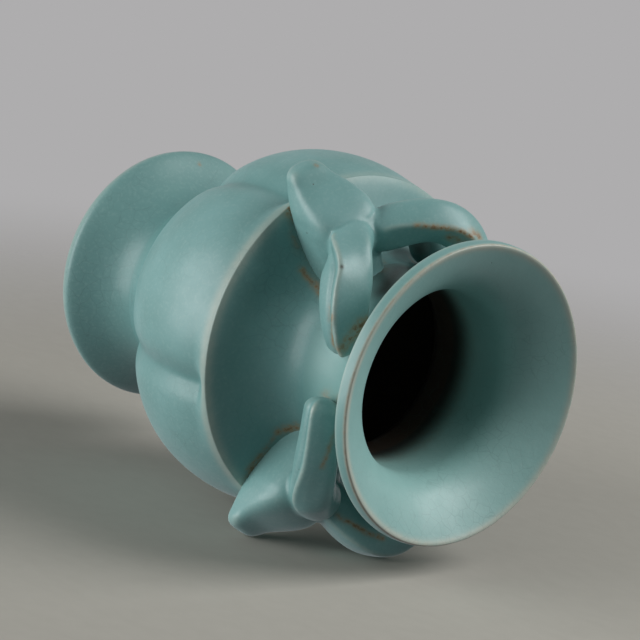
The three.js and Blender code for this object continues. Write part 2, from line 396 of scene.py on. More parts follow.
@dataclass
class ThrownPiece:
    """A ring thrown on the wheel, as a closed outline turned round the axis.

    Inside the axis reach the wall is flat, so it isn't pressed in.
    """

    name: str
    nodes: tuple[str, ...]
    slot: str
    outline: np.ndarray
    around: int = 400
    axis_reach: float = 1 * MM

    def skin(self) -> Skin:
        """Turns the outline.

        Returns:
            The closed skin, without marks.
        """
        count = len(self.outline)
        angles = np.arange(self.around) * 2 * math.pi / self.around
        angle = np.repeat(angles, count)
        radius = np.tile(self.outline[:, 0], self.around)
        height = np.tile(self.outline[:, 1], self.around)
        pressed = SIZES.groove(angle, height) + SIZES.unevenness(angle, height)
        radius = np.where(radius > self.axis_reach, radius - pressed, radius)
        points = np.stack([radius * np.cos(angle), radius * np.sin(angle), height], axis=1)
        faces = []
        for i in range(self.around):
            here, there = i * count, (i + 1) % self.around * count
            for k in range(count):
                up = (k + 1) % count
                faces.append((here + k, there + k, there + up, here + up))
        return Skin(points, faces)

    def beyond(self, count: int) -> np.ndarray:
        """Marks the points that come after the first so many of the outline with 1."""
        return np.tile(np.arange(len(self.outline)) >= count, self.around).astype(float)

    def build(self, marks: dict[Mark, np.ndarray]) -> bpy.types.Object:
        """Makes the piece and sets it in place of its nodes.

        Args:
            marks: Values for every point.

        Returns:
            The object.
        """
        skin = self.skin()
        skin.marks = marks
        piece = skin.make(self.name)
        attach(piece, BODY)
        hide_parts(*self.nodes)
        return piece


@dataclass(frozen=True)
class GlazeLine:
    """A line, a patch or a dot on the glaze, through places given in millimetres.

    The width is how far from the path the mark falls to a third of its strength.
    """

    path: tuple[tuple[float, float, float], ...]
    width: float
    strength: float = 1.0

    def on(self, points: np.ndarray) -> np.ndarray:
        """How strongly the line marks each point.

        Args:
            points: Rows of places.

        Returns:
            Shares, from 0 to the strength.
        """
        places = np.array(self.path) * MM
        marked = np.zeros(len(points))
        for start, end in zip(places[:-1], places[1:]):
            run = end - start
            share = np.clip((points - start) @ run / max(run @ run, TINY**2), 0, 1)
            nearest = start + share[:, None] * run
            away = np.linalg.norm(points - nearest, axis=1)
            marked = np.maximum(marked, self.strength * hump(away, 0, self.width))
        return marked


@dataclass
class Horn:
    """A horn, rolled from clay and bent by hand round to the neck.

    root is the radius and height of its middle where it grows from the head, tip is how far its
    middle stands out from the neck and its height where it ends, start and turn are the angles from
    the middle of the head to its root and its tip, in degrees, bow is how far its middle leaves the
    neck, swell is how much it widens and rise is how early it reaches its height.
    crest is the angle of the sharp line along it, in degrees up from its outer side, twist is how far
    the line turns up on its way from the root, channel is how deep the hollow under the crest is, as
    a share of its thickness, and dome is the share of its length over which its end is rounded.
    The crest's and channel's own widths and the channel's place are in degrees round the horn.
    rusted gives the shares of its length between which the crest has rusted through, and buried is
    the share of its length that starts inside the head.
    """

    side: int
    start: float
    root: Place
    tip: Place
    turn: float
    bow: float = 0.0
    swell: float = 0.0
    crest: float = 45
    channel: float = 0.0
    twist: float = 30
    twist_end: float = 0.4
    rise: float = 2.5
    dome: float = 0.12
    dome_depth: float = 0.9
    squareness: float = 3.2
    square_scale: float = 0.94
    square_fade: Span = (-0.1, 0.1)
    crest_height: float = 0.09
    crest_width: float = 9
    channel_place: float = -19
    channel_width: float = 8
    root_thickness: float = 19 * MM
    tip_thickness: float = 15 * MM
    depth_share: float = 1.05
    rusted: Span = (0.0, 0.0)
    rust_places: int = 12
    buried: float = 0.14
    steps: int = 66
    sides: int = 72

    def centre(self, share: float) -> np.ndarray:
        """The middle of the horn at a share of its length.

        Args:
            share: 0 at the root, 1 at the tip and below 0 inside the head.

        Returns:
            The point, for a head that points along +X.
        """
        angle = math.radians(self.start + (self.turn - self.start) * share)
        tip_radius = SIZES.neck_radius + self.tip[0]
        radius = self.root[0] + (tip_radius - self.root[0]) * share**2
        radius += self.bow * math.sin(math.pi * max(share, 0))
        height = self.root[1] + (self.tip[1] - self.root[1]) * (1 - (1 - share) ** self.rise)
        return polar(radius, self.side * angle, height)

    def crest_at(self, share: float) -> float:
        """Where the crest runs at a share of the length, in degrees up from the outer side."""
        return self.crest - self.twist * (1 - float(smoothstep(np.array(share), 0.0, self.twist_end)))

    def shape(self, around: np.ndarray, share: float) -> np.ndarray:
        """The outline of a slice: a rounded square with a crest on one corner and a channel beside it.

        Args:
            around: Angles up from the outer side, in radians.
            share: 0 at the root and 1 at the tip.

        Returns:
            The radius at each angle, as a share of the plain round.
        """
        turned = np.mod(np.degrees(around) - self.crest_at(share) + 180, 360) - 180
        fade = smoothstep(np.array(share), *self.square_fade)
        corner = np.radians(turned + 45)
        power = self.squareness
        square = (np.abs(np.cos(corner)) ** power + np.abs(np.sin(corner)) ** power) ** (-1 / power)
        line = self.crest_height * hump(turned, 0, self.crest_width)
        hollow = self.channel * hump(turned, self.channel_place, self.channel_width)
        return 1 + fade * (self.square_scale * square - 1 + line - hollow)

    def slice(self, share: float, around: np.ndarray) -> np.ndarray:
        """Cuts the horn square to its middle.

        Args:
            share: 0 at the root and 1 at the tip.
            around: Angles up from the outer side, in radians.

        Returns:
            The ring of points, for a head that points along +X.
        """
        nearby = 0.5 / self.steps
        ahead = self.centre(min(share + nearby, 1.0)) - self.centre(min(share, 1.0 - nearby) - nearby)
        out = np.cross(ahead, [0, 0, 1]) * self.side
        out /= np.linalg.norm(out)
        over = np.cross(out, ahead / np.linalg.norm(ahead)) * self.side
        thick = self.root_thickness + (self.tip_thickness - self.root_thickness) * share
        wide = thick / 2 + self.swell / 2 * math.sin(math.pi * max(share, 0))
        high = thick / 2 * self.depth_share
        blunt = math.sqrt(1 - self.dome_depth * max(0.0, (share + self.dome - 1) / self.dome) ** 2)
        ring = self.shape(around, share)[:, None] * blunt
        flat = ring * wide * np.cos(around)[:, None] * out
        return self.centre(share) + flat + ring * high * np.sin(around)[:, None] * over

    def crest_rust(self, width: float) -> list[GlazeLine]:
        """Rust along the crest.

        Args:
            width: Width of the line.

        Returns:
            The line, for a head that points along +X, or nothing.
        """
        if self.rusted[0] == self.rusted[1]:
            return []
        places = []
        for share in np.linspace(*self.rusted, self.rust_places):
            (place,) = self.slice(share, np.radians([self.crest_at(share)]))
            places.append(tuple(place / MM))
        return [GlazeLine(tuple(places), width)]

    def skin(self) -> Skin:
        """Builds the closed horn for a head that points along +X.

        Returns:
            The skin, without marks.
        """
        shares = np.linspace(-self.buried, 1, self.steps)
        around = np.arange(self.sides) * 2 * math.pi / self.sides
        return loft([self.slice(share, around) for share in shares])


def loft(rings: list[np.ndarray]) -> Skin:
    """Closes a skin over rings that all have the same number of points.

    Args:
        rings: The rings, each a set of rows.

    Returns:
        The skin, with a flat cap on each end.
    """
    sides = len(rings[0])
    points = np.concatenate(rings + [rings[0].mean(0)[None], rings[-1].mean(0)[None]])
    first, last = len(rings) * sides, len(rings) * sides + 1
    faces: list[tuple[int, ...]] = []
    for i in range(sides):
        after = (i + 1) % sides
        faces.append((first, after, i))
        faces.append((last, (len(rings) - 1) * sides + i, (len(rings) - 1) * sides + after))
        for k in range(len(rings) - 1):
            low, high = k * sides, (k + 1) * sides
            faces.append((low + i, low + after, high + after, high + i))
    return Skin(points, faces)


@dataclass(frozen=True)
class HeadSizes:
    """Sizes of a ram's head, in the plane through the vase's axis.

    The head is a block that narrows from the crown to a blunt muzzle. A squareness of 1 gives a
    round section and a smaller one a squarer section, the inset is how far the muzzle's end is
    drawn in, and the hollows and the bulge shape the face and cheeks.
    """

    muzzle_reach: float = 97.8 * MM
    muzzle_top: float = 154.5 * MM
    muzzle_bottom: float = 140.4 * MM
    muzzle_half_width: float = 10.5 * MM
    muzzle_bevel: float = 5.6 * MM
    muzzle_end_inset: float = 4.2 * MM
    muzzle_slant: float = 1.6 * MM
    muzzle_roundness: float = 1.45
    muzzle_end_share: float = 0.98
    crown_radius: float = 77 * MM
    crown_height: float = 178.5 * MM
    crown_back_drop: float = 3 * MM
    face_arch: float = 3.8 * MM
    face_edge: float = 0.5
    brow_half_width: float = 18.2 * MM
    nape_half_width: float = 15 * MM
    chin_share: float = 0.74
    root_depth: float = 4 * MM
    top_squareness: float = 0.70
    chin_squareness: float = 0.80
    corner_rounding: float = 2.4 * MM
    face_hollow: float = 0.6 * MM
    hollow_start: float = 0.1
    cheek_hollow: float = 0.4 * MM
    cheek_hollow_place: float = 0.1
    cheek_hollow_width: float = 0.5
    cheek_bulge: float = 1.5 * MM
    sides: int = 96
    steps: int = 80

    def slice(self, radius: float, bottom: float, top: float, half: float, hollow: float) -> np.ndarray:
        """Cuts the head square to the line out to the muzzle.

        Args:
            radius: Distance from the axis.
            bottom: Height of the jaw.
            top: Height of the face.
            half: Half the width under the face.
            hollow: How strongly the face and cheeks are hollowed, from 0 to 1.

        Returns:
            The ring of points.
        """
        turn = np.arange(self.sides) * 2 * math.pi / self.sides
        square = np.where(np.sin(turn) > 0, self.top_squareness, self.chin_squareness)
        up = np.sign(np.sin(turn)) * np.abs(np.sin(turn)) ** square
        side = np.sign(np.cos(turn)) * np.abs(np.cos(turn)) ** square
        width = half * (self.chin_share + (1 - self.chin_share) * (up + 1) / 2)
        cheek = self.cheek_hollow * hump(up, self.cheek_hollow_place, self.cheek_hollow_width)
        across = side * (width - hollow * cheek)
        height = (top + bottom) / 2 + up * (top - bottom) / 2
        height = height - hollow * self.face_hollow * smoothstep(up, self.face_edge, 1) * (1 - side**2)
        return np.stack([np.full(self.sides, radius), across, height], axis=1)

    def skin(self) -> Skin:
        """Builds the closed head, pointing along +X.

        Returns:
            The skin, without marks.
        """
        back = SIZES.neck_radius - self.root_depth
        nape = self.crown_height - self.crown_back_drop
        front = self.muzzle_reach - self.muzzle_bevel
        radius = np.linspace(back, self.muzzle_reach, self.steps)
        corners = [back, self.crown_radius, front, self.muzzle_reach]
        heights = [nape, self.crown_height, self.muzzle_top, self.muzzle_top - self.muzzle_slant]
        halves = [self.nape_half_width, self.brow_half_width, self.muzzle_half_width, self.muzzle_half_width]
        face = np.clip((radius - self.crown_radius) / (front - self.crown_radius), 0, 1)
        arch = self.face_arch * np.sin(math.pi * face)
        top = self.rounded(np.interp(radius, corners, heights) + arch)
        half = self.rounded(np.interp(radius, corners, halves)) + self.cheek_bulge * np.sin(math.pi * face)
        end = np.clip((radius - front) / self.muzzle_bevel, 0, 1)
        inset = self.muzzle_end_inset * (1 - np.sqrt(1 - self.muzzle_end_share * end**2))
        down_face = np.clip(self.hollow_start + face * (1 - self.hollow_start), 0, 1)
        hollow = np.sqrt(np.sin(math.pi * down_face)) * (1 - end)
        rings = [
            self.slice(r, self.muzzle_bottom + i, t - i, h - self.muzzle_roundness * i, e)
            for r, i, t, h, e in zip(radius, inset, top, half, hollow)
        ]
        return loft(rings)

    def rounded(self, values: np.ndarray) -> np.ndarray:
        """Rounds the corners of a profile sampled evenly from the neck to the muzzle.

        It averages the profile under a bell that fades out within three times the rounding.

        Args:
            values: The profile.

        Returns:
            The rounded profile.
        """
        spacing = (self.muzzle_reach - SIZES.neck_radius + self.root_depth) / (self.steps - 1)
        span = round(3 * self.corner_rounding / spacing)
        weights = hump(np.arange(-span, span + 1) * spacing, 0, self.corner_rounding * math.sqrt(2))
        before = 2 * values[0] - values[span:0:-1]
        after = 2 * values[-1] - values[-2 : -span - 2 : -1]
        padded = np.concatenate([before, values, after])
        return np.convolve(padded, weights / weights.sum(), mode="valid")


def lined(values: np.ndarray, points: np.ndarray, lines: tuple[GlazeLine, ...]) -> np.ndarray:
    """Adds lines to a mark.

    Args:
        values: The mark so far, one value for each point.
        points: Rows of places.
        lines: The lines.

    Returns:
        The greater of the mark and the lines.
    """
    for line in lines:
        values = np.maximum(values, line.on(points))
    return values


@dataclass
class Ram:
    """A ram's head with its two horns, luted to the body and covered by one coat of glaze.

    An easing is how many rounds soften the clay and a blend how many soften a mark. A bend is how far
    a point stands out from its softened surroundings, or lies in from them, where a mark starts and
    where it is full, and a clearance is the same for the height above the body.
    """

    place: str
    turn: float
    left: Horn
    right: Horn
    head: HeadSizes = HeadSizes()
    clay_step: float = 0.75 * MM
    softness: int = 5
    fillet: float = 0.4 * MM
    root_depth: float = 2 * MM
    fill_rounds: int = 3
    fill_easing: int = 60
    fill_blend: int = 6
    fill_bend: Span = (0.25 * MM, 0.8 * MM)
    bend_easing: int = 14
    bend_blend: int = 3
    thin_bend: Span = (0.08 * MM, 0.48 * MM)
    thin_clearance: Span = (1 * MM, 4 * MM)
    thin_share: float = 0.75
    pooled_bend: Span = (0.02 * MM, 0.30 * MM)
    crevice_bend: Span = (0.10 * MM, 0.45 * MM)
    crevice_clearance: Span = (-1 * MM, 2 * MM)
    crevice_patch: float = 4 * MM
    crevice_share: float = 0.35
    crest_rust_width: float = 1.5 * MM
    rust: tuple[GlazeLine, ...] = ()
    bare: tuple[GlazeLine, ...] = ()

    @property
    def spin(self) -> np.ndarray:
        """Matrix that turns rows of places from +X to the way that the ram faces."""
        cos, sin = math.cos(self.turn), math.sin(self.turn)
        return np.array([[cos, sin, 0], [-sin, cos, 0], [0, 0, 1]])

    def rough(self) -> bpy.types.Object:
        """Joins head and horns into one closed clay form.

        Returns:
            A plain object with the joined form.
        """
        points, faces = [], []
        count = 0
        for skin in (self.head.skin(), self.left.skin(), self.right.skin()):
            points.append(skin.points)
            faces += [tuple(i + count for i in face) for face in skin.faces]
            count += len(skin.points)
        piece = Skin(np.concatenate(points) @ self.spin, faces).make(f"ram_{self.place}_clay")
        remesh = piece.modifiers.new("clay", "REMESH")
        remesh.mode = "VOXEL"
        remesh.voxel_size = self.clay_step
        return piece

    def filled(self, points: np.ndarray, faces: list[tuple[int, ...]], bonds: np.ndarray) -> np.ndarray:
        """Fills the deep creases between head and horns, as slip and glaze do.

        Args:
            points: Rows of places.
            faces: Faces of four points each.
            bonds: Rows of two neighbours.

        Returns:
            The moved places.
        """
        for _ in range(self.fill_rounds):
            eased = relax(points, bonds, self.fill_easing)
            deep = -np.einsum("ij,ij->i", points - eased, normals_of(points, faces))
            share = smooth_values(smoothstep(deep, *self.fill_bend), bonds, self.fill_blend)
            points = points + share[:, None] * (eased - points)
        return points

    def build(self) -> bpy.types.Object:
        """Makes the glazed ram and sets it in place of its nodes.

        Returns:
            The object.
        """
        rough = self.rough()
        graph = bpy.context.evaluated_depsgraph_get()
        joined = bpy.data.meshes.new_from_object(rough.evaluated_get(graph))
        bpy.data.objects.remove(rough)
        points = read_points(joined)
        faces = [tuple(p.vertices) for p in joined.polygons]
        bonds = np.array([e.vertices[:] for e in joined.edges])
        points = relax(points, bonds, self.softness)
        points = self.filled(points, faces, bonds)
        points = seat(points, normals_of(points, faces), self.fillet, self.root_depth)
        skin = Skin(points, faces, self.marks(points, faces, bonds))
        piece = skin.make(f"ram_{self.place}")
        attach(piece, BODY)
        nodes = (f"ram_head_{self.place}", f"horn_{self.place}_left", f"horn_{self.place}_right")
        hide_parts(*nodes)
        return piece

    def marks(
        self, points: np.ndarray, faces: list[tuple[int, ...]], bonds: np.ndarray
    ) -> dict[Mark, np.ndarray]:
        """Works out how the glaze lies: thin on the edges, pooled and rusty in the creases.

        Args:
            points: Rows of places.
            faces: Faces of four points each.
            bonds: Rows of two neighbours.

        Returns:
            Values for every point.
        """
        softened = relax(points, bonds, self.bend_easing)
        bend = np.einsum("ij,ij->i", points - softened, normals_of(points, faces))
        bend = smooth_values(bend, bonds, self.bend_blend)
        above, _ = body_distance(points)
        thin = smoothstep(bend, *self.thin_bend) * smoothstep(above, *self.thin_clearance)
        crevice = smoothstep(-bend, *self.crevice_bend) * smoothstep(above, *self.crevice_clearance)
        crevice = crevice * patches(points, self.crevice_patch, self.crevice_share)
        rust = lined(crevice, points, self.rust)
        turned_back = points @ self.spin.T
        for horn in (self.left, self.right):
            rust = lined(rust, turned_back, tuple(horn.crest_rust(self.crest_rust_width)))
        return {
            Mark.THIN: self.thin_share * thin,
            Mark.POOLED: smoothstep(-bend, *self.pooled_bend),
            Mark.RUST: rust,
            Mark.BARE: lined(np.zeros(len(points)), points, self.bare),
        }


def read_points(mesh: bpy.types.Mesh) -> np.ndarray:
    """Reads a mesh's points.

    Args:
        mesh: The mesh.

    Returns:
        Rows of places.
    """
    flat = np.zeros(len(mesh.vertices) * 3, np.float32)
    mesh.vertices.foreach_get("co", flat)
    return flat.reshape(-1, 3).astype(float)


def relax(points: np.ndarray, bonds: np.ndarray, rounds: int) -> np.ndarray:
    """Draws every point half way to the middle of its neighbours, as wet glaze softens clay.

    Args:
        points: Rows of places.
        bonds: Rows of two neighbours.
        rounds: How many times.

    Returns:
        The moved places.
    """
    a, b = bonds[:, 0], bonds[:, 1]
    count = np.bincount(np.concatenate([a, b]), minlength=len(points))[:, None]
    moved = points.copy()
    for _ in range(rounds):
        total = np.zeros_like(moved)
        for axis in range(3):
            total[:, axis] = np.bincount(a, moved[b, axis], len(moved))
            total[:, axis] += np.bincount(b, moved[a, axis], len(moved))
        moved += (total / count - moved) / 2
    return moved


def smooth_values(values: np.ndarray, bonds: np.ndarray, rounds: int) -> np.ndarray:
    """Evens a value out over neighbours.

    Args:
        values: One value for each point.
        bonds: Rows of two neighbours.
        rounds: How many times.

    Returns:
        The evened values.
    """
    return relax(np.repeat(values[:, None], 3, axis=1), bonds, rounds)[:, 0]


def normals_of(points: np.ndarray, faces: list[tuple[int, ...]]) -> np.ndarray:
    """Works out the outward direction at every point.

    Args:
        points: Rows of places.
        faces: Faces of four points each.

    Returns:
        Rows of unit directions.
    """
    quads = np.array([f if len(f) == 4 else (*f, f[-1]) for f in faces])
    across = points[quads[:, 2]] - points[quads[:, 0]]
    other = points[quads[:, 3]] - points[quads[:, 1]]
    square = np.cross(across, other)
    total = np.zeros_like(points)
    for corner in range(4):
        for axis in range(3):
            total[:, axis] += np.bincount(quads[:, corner], square[:, axis], len(points))
    return total / np.maximum(np.linalg.norm(total, axis=1), TINY**2)[:, None]


# Two crossed waves that make patches: how strong each is, then for each of its two sines the turns
# along x, y and z and the shift. The rise is where on the waves a patch starts and where it is full.
PATCH_WAVES = (
    (1.0, (1.7, 0.0, 0.9, 0.0), (-0.7, 1.3, 0.0, 2.1)),
    (0.6, (0.0, 1.1, 2.9, 0.0), (2.3, 0.0, 0.0, 0.5)),
)
PATCH_RISE = (-0.6, 1.0)


def patches(points: np.ndarray, size: float, least: float) -> np.ndarray:
    """Gives a slow, patchy value from crossed waves, the same on every run.

    Args:
        points: Rows of places.
        size: About how wide a patch is.
        least: The value between the patches.

    Returns:
        Shares, from the least to 1.
    """
    waves = np.zeros(len(points))
    for strength, *sines in PATCH_WAVES:
        first, second = (np.sin(points / size @ np.array(sine[:3]) + sine[3]) for sine in sines)
        waves = waves + strength * first * second
    return least + (1 - least) * smoothstep(waves, *PATCH_RISE)


def body_distance(
    points: np.ndarray, step: float = 0.5 * MM, batch: int = 4000
) -> tuple[np.ndarray, np.ndarray]:
    """Measures how far points stand out from the body's outside.

    Args:
        points: Rows of places.
        step: Distance from point to point of the outline that is measured from.
        batch: How many points are measured at a time.

    Returns:
        The distances, below 0 inside the wall, and the outward directions.
    """
    outline = SIZES.outline(step, Wall.BELLY, Wall.SHOULDER, Wall.MOUTH)
    ahead = np.gradient(outline, axis=0)
    ahead /= np.linalg.norm(ahead, axis=1)[:, None]
    outward = np.stack([ahead[:, 1], -ahead[:, 0]], axis=1)
    angle = np.arctan2(points[:, 1], points[:, 0])
    radius = np.hypot(points[:, 0], points[:, 1]) + SIZES.groove(angle, points[:, 2])
    flat = np.stack([radius, points[:, 2]], axis=1)
    distance = np.empty(len(points))
    normal = np.empty((len(points), 2))
    for start in range(0, len(points), batch):
        part = flat[start : start + batch]
        gaps = part[:, None, :] - outline[None, :, :]
        best = np.argmin((gaps**2).sum(2), axis=1)
        gap = gaps[np.arange(len(part)), best]
        sign = np.sign((gap * outward[best]).sum(1))
        distance[start : start + batch] = sign * np.linalg.norm(gap, axis=1)
        normal[start : start + batch] = outward[best]
    direction = np.stack([normal[:, 0] * np.cos(angle), normal[:, 0] * np.sin(angle), normal[:, 1]], axis=1)
    return distance, direction


# How far the foot of a modelled piece spreads, as a share of its fillet, how quickly the spread fades
# upwards, and how steep the piece has to stand before it spreads at all and in full.
SPREAD_SHARE = 0.8
SPREAD_FADE = 2.3
SPREAD_STEEPNESS = (0.15, 0.6)


def seat(points: np.ndarray, normal: np.ndarray, fillet: float, depth: float) -> np.ndarray:
    """Spreads a modelled piece where it meets the body and keeps its root inside the wall.

    Args:
        points: Rows of places.
        normal: Outward directions of the piece.
        fillet: Height over which the foot of the piece spreads.
        depth: How deep the root may go into the wall.

    Returns:
        The moved places.
    """
    distance, up = body_distance(points)
    level = normal - np.einsum("ij,ij->i", normal, up)[:, None] * up
    size = np.linalg.norm(level, axis=1)
    level /= np.maximum(size, TINY)[:, None]
    share = np.clip(1 - distance / fillet, 0, 1)
    spread = fillet * SPREAD_SHARE * share**SPREAD_FADE * smoothstep(size, *SPREAD_STEEPNESS)
    spread = np.where(distance < 0, fillet * SPREAD_SHARE, spread)
    moved = points + spread[:, None] * level
    lift = np.clip(-depth - distance, 0, None)
    return moved + lift[:, None] * up


# The pale line over the ridge, partly glaze that ran thin and partly a painted highlight: its strength, how
# much of it is left off where the light only grazes the ridge, how far from the ridge it is strongest
# and how far from there it fades to a third.
RIDGE_STRENGTH = 0.62
RIDGE_LOSS = 0.4
RIDGE_OFFSET = 0.8 * MM
RIDGE_WIDTH = 2.7 * MM

# Where the light only grazes the ridge, so that the painted highlight is left off, and how wide that
# stretch is, in degrees round the axis.
GRAZED_RIDGE_ANGLE = -122.0
GRAZED_RIDGE_WIDTH = 30.0


def ridge_line(points: np.ndarray) -> np.ndarray:
    """Marks the pale line over the ridge: thin glaze and a painted highlight.

    Args:
        points: Rows of places on the body.

    Returns:
        Shares, most on the ridge.
    """
    radius, height = np.hypot(points[:, 0], points[:, 1]), points[:, 2]
    away = np.hypot(radius - SIZES.ridge_radius, height - SIZES.ridge_height)
    degrees = np.degrees(np.arctan2(points[:, 1], points[:, 0]))
    # thick is the stretch where the light only grazes the ridge and the painted highlight is left off.
    thick = hump(degrees, GRAZED_RIDGE_ANGLE, GRAZED_RIDGE_WIDTH)
    return (RIDGE_STRENGTH - RIDGE_LOSS * thick) * hump(away, RIDGE_OFFSET, RIDGE_WIDTH)


@dataclass(frozen=True)
class Crevice:
    """Iron that gathers on the body in the crevice round a ram, in patches.

    The width is how far it goes from the ram's foot, the patch is about how wide a patch is and least
    is what is left between patches. A ram's foot is what stands lower than the foot height over the
    body, and only points of the body nearer to its middle than the nearby distance are looked at.
    """

    width: float
    patch: float
    least: float
    foot_height: float = 1.5 * MM
    nearby: float = 60 * MM

    def on(self, points: np.ndarray, rams: list[bpy.types.Object]) -> np.ndarray:
        """How much iron each point shows.

        Args:
            points: Rows of places on the body.
            rams: The rams' pieces.

        Returns:
            Shares, 1 at the crevice.
        """
        marks = np.zeros(len(points))
        for ram in rams:
            own = read_points(ram.data)
            above, _ = body_distance(own)
            foot = own[(above > 0) & (above < self.foot_height)]
            tree = KDTree(len(foot))
            for i, place in enumerate(foot):
                tree.insert(place, i)
            tree.balance()
            close = np.linalg.norm(points - foot.mean(0), axis=1) < self.nearby
            for i in np.nonzero(close)[0]:
                marks[i] = max(marks[i], hump(tree.find(points[i])[2], 0, self.width))
        return marks * patches(points, self.patch, self.least)


def set_node(
    tree: bpy.types.NodeTree,
    kind: str,
    settings: dict[str | int, object] | None = None,
    links: dict[str | int, bpy.types.NodeSocket] | None = None,
) -> bpy.types.Node:
    """Adds a shader node.

    Args:
        tree: The node tree.
        kind: The node's type, without the words that every shader node's type starts with.
        settings: Properties by name, and values of inputs by their name or number.
        links: Outputs of other nodes, by the name or number of the input that they feed.

    Returns:
        The node.
    """
    node = tree.nodes.new("ShaderNode" + kind)
    for key, value in (settings or {}).items():
        if isinstance(key, str) and hasattr(node, key):
            setattr(node, key, value)
        else:
            node.inputs[key].default_value = value
    for key, output in (links or {}).items():
        tree.links.new(output, node.inputs[key])
    return node


@dataclass(frozen=True)
class CeladonGlaze:
    """Blue-green iron glaze, dipped over grey stoneware and fired in a smoky kiln.

    It lies thick and milky on the walls, pools bluer and darker in the hollows, runs thin and pale
    over every sharp edge, and lets the iron of the clay rust through where it is thinnest.
    The colours are those of the glaze as it lies, clouded, speckled, pooled and thin, then those of
    rust, burnt rust, bare clay, crazing and pinholes. Some marks also use the pooled and bare colours
    as painted shade and the thin colour as a painted highlight. Sizes in millimetres are those of the
    real marks.
    A band is the part of a noise or of a mark, from 0 to 1, over which the next one rises. A keep is
    the least share of a mark that its breaks leave. A relief is how strong a bump is and how high, in
    millimetres.
    """

    name: str
    body: str = "80b0ae"
    cloud: str = "73a3a0"
    speckle: str = "a3c4c0"
    pooled: str = "3f7a78"
    thin: str = "c3cbbd"
    rust: str = "a67c48"
    burnt: str = "4c3624"
    bare: str = "3a3028"
    crazing: str = "4d6f6c"
    pinhole: str = "3a2e24"
    ior: float = 1.5
    roughness: float = 0.50
    roughness_spread: float = 0.07
    coat: float = 0.30
    coat_roughness: float = 0.27
    cloud_mm: float = 34.0
    speckle_mm: float = 1.6
    speckle_strength: float = 0.26
    crackle_mm: float = 6.0
    crackle_width_mm: float = 0.2
    crackle_strength: float = 0.30
    crackle_bend_mm: float = 9.0
    crackle_shift: float = 0.5
    crackle_patch_mm: float = 48.0
    thin_break_mm: float = 6.0
    rust_break_mm: float = 2.4
    sheen_mm: float = 10.0
    skin_mm: float = 6.5
    grain_mm: float = 1.4
    pinhole_mm: float = 26.0
    pinhole_size_mm: float = 0.45
    pinhole_strength: float = 0.85
    thin_keep: float = 0.75
    rust_keep: float = 0.4
    burnt_strength: float = 0.7
    burnt_band: Span = (0.62, 1.0)
    cloud_band: Span = (0.35, 0.68)
    speckle_band: Span = (0.5, 0.75)
    break_band: Span = (0.38, 0.62)
    crackle_band: Span = (0.42, 0.62)
    sheen_band: Span = (0.3, 0.7)
    skin_relief: Span = (0.10, 1.2)
    grain_relief: Span = (0.16, 0.25)
    crackle_relief: Span = (0.25, 0.3)
    pinhole_relief: Span = (0.6, 0.4)

    def material(self) -> bpy.types.Material:
        """Makes the material.

        Returns:
            The material, in metres of object space.
        """
        glaze = bpy.data.materials.new(self.name)
        glaze.use_nodes = True
        tree = glaze.node_tree
        tree.nodes.clear()
        place = set_node(tree, "TexCoord").outputs["Object"]
        marks = {}
        for mark in Mark:
            marks[mark] = set_node(tree, "Attribute", {"attribute_name": mark.value}).outputs["Fac"]
        crackle, pinholes = self.crackle(tree, place), self.pinholes(tree, place)
        rust = self.broken(tree, place, marks[Mark.RUST], self.rust_break_mm, self.rust_keep)
        start, full = self.burnt_band
        settings = {"From Min": start, "From Max": full, "To Max": self.burnt_strength}
        burnt = set_node(tree, "MapRange", settings, {"Value": rust}).outputs["Result"]
        most = (0.0, self.speckle_strength)
        layers = (
            (self.cloud, self.blotches(tree, place, self.cloud_mm, self.cloud_band, (0.0, 1.0))),
            (self.speckle, self.blotches(tree, place, self.speckle_mm, self.speckle_band, most)),
            (self.pooled, marks[Mark.POOLED]),
            (self.thin, self.broken(tree, place, marks[Mark.THIN], self.thin_break_mm, self.thin_keep)),
            (self.rust, rust),
            (self.burnt, burnt),
            (self.bare, marks[Mark.BARE]),
            (self.crazing, crackle),
            (self.pinhole, pinholes),
        )
        base = set_node(tree, "RGB")
        base.outputs[0].default_value = linear(self.body)
        colour = base.outputs[0]
        for over, share in layers:
            settings = {"data_type": "RGBA", 7: linear(over)}
            colour = set_node(tree, "Mix", settings, {0: share, 6: colour}).outputs[2]
        sheen = (self.roughness - self.roughness_spread, self.roughness + self.roughness_spread)
        settings = {
            "Metallic": 0.0,
            "IOR": self.ior,
            "Coat Weight": self.coat,
            "Coat Roughness": self.coat_roughness,
        }
        links = {
            "Base Color": colour,
            "Roughness": self.blotches(tree, place, self.sheen_mm, self.sheen_band, sheen),
            "Normal": self.relief(tree, place, crackle, pinholes),
        }
        shader = set_node(tree, "BsdfPrincipled", settings, links)
        set_node(tree, "OutputMaterial", {}, {"Surface": shader.outputs["BSDF"]})
        return glaze

    def blotches(
        self,
        tree: bpy.types.NodeTree,
        place: bpy.types.NodeSocket,
        size_mm: float,
        band: Span,
        shares: Span,
    ) -> bpy.types.NodeSocket:
        """Soft blotches, as glaze gathers and thins by itself in the kiln.

        Args:
            tree: The node tree.
            place: Place on the piece.
            size_mm: Width of a blotch.
            band: The part of the noise, from 0 to 1, over which a blotch rises.
            shares: The values outside and inside a blotch.

        Returns:
            The output with the value.
        """
        settings = {"Scale": 1 / (size_mm * MM), "Detail": 3.0, "Roughness": 0.55}
        noise = set_node(tree, "TexNoise", settings, {"Vector": place})
        settings = {"From Min": band[0], "From Max": band[1], "To Min": shares[0], "To Max": shares[1]}
        links = {"Value": noise.outputs["Fac"]}
        return set_node(tree, "MapRange", settings, links).outputs["Result"]

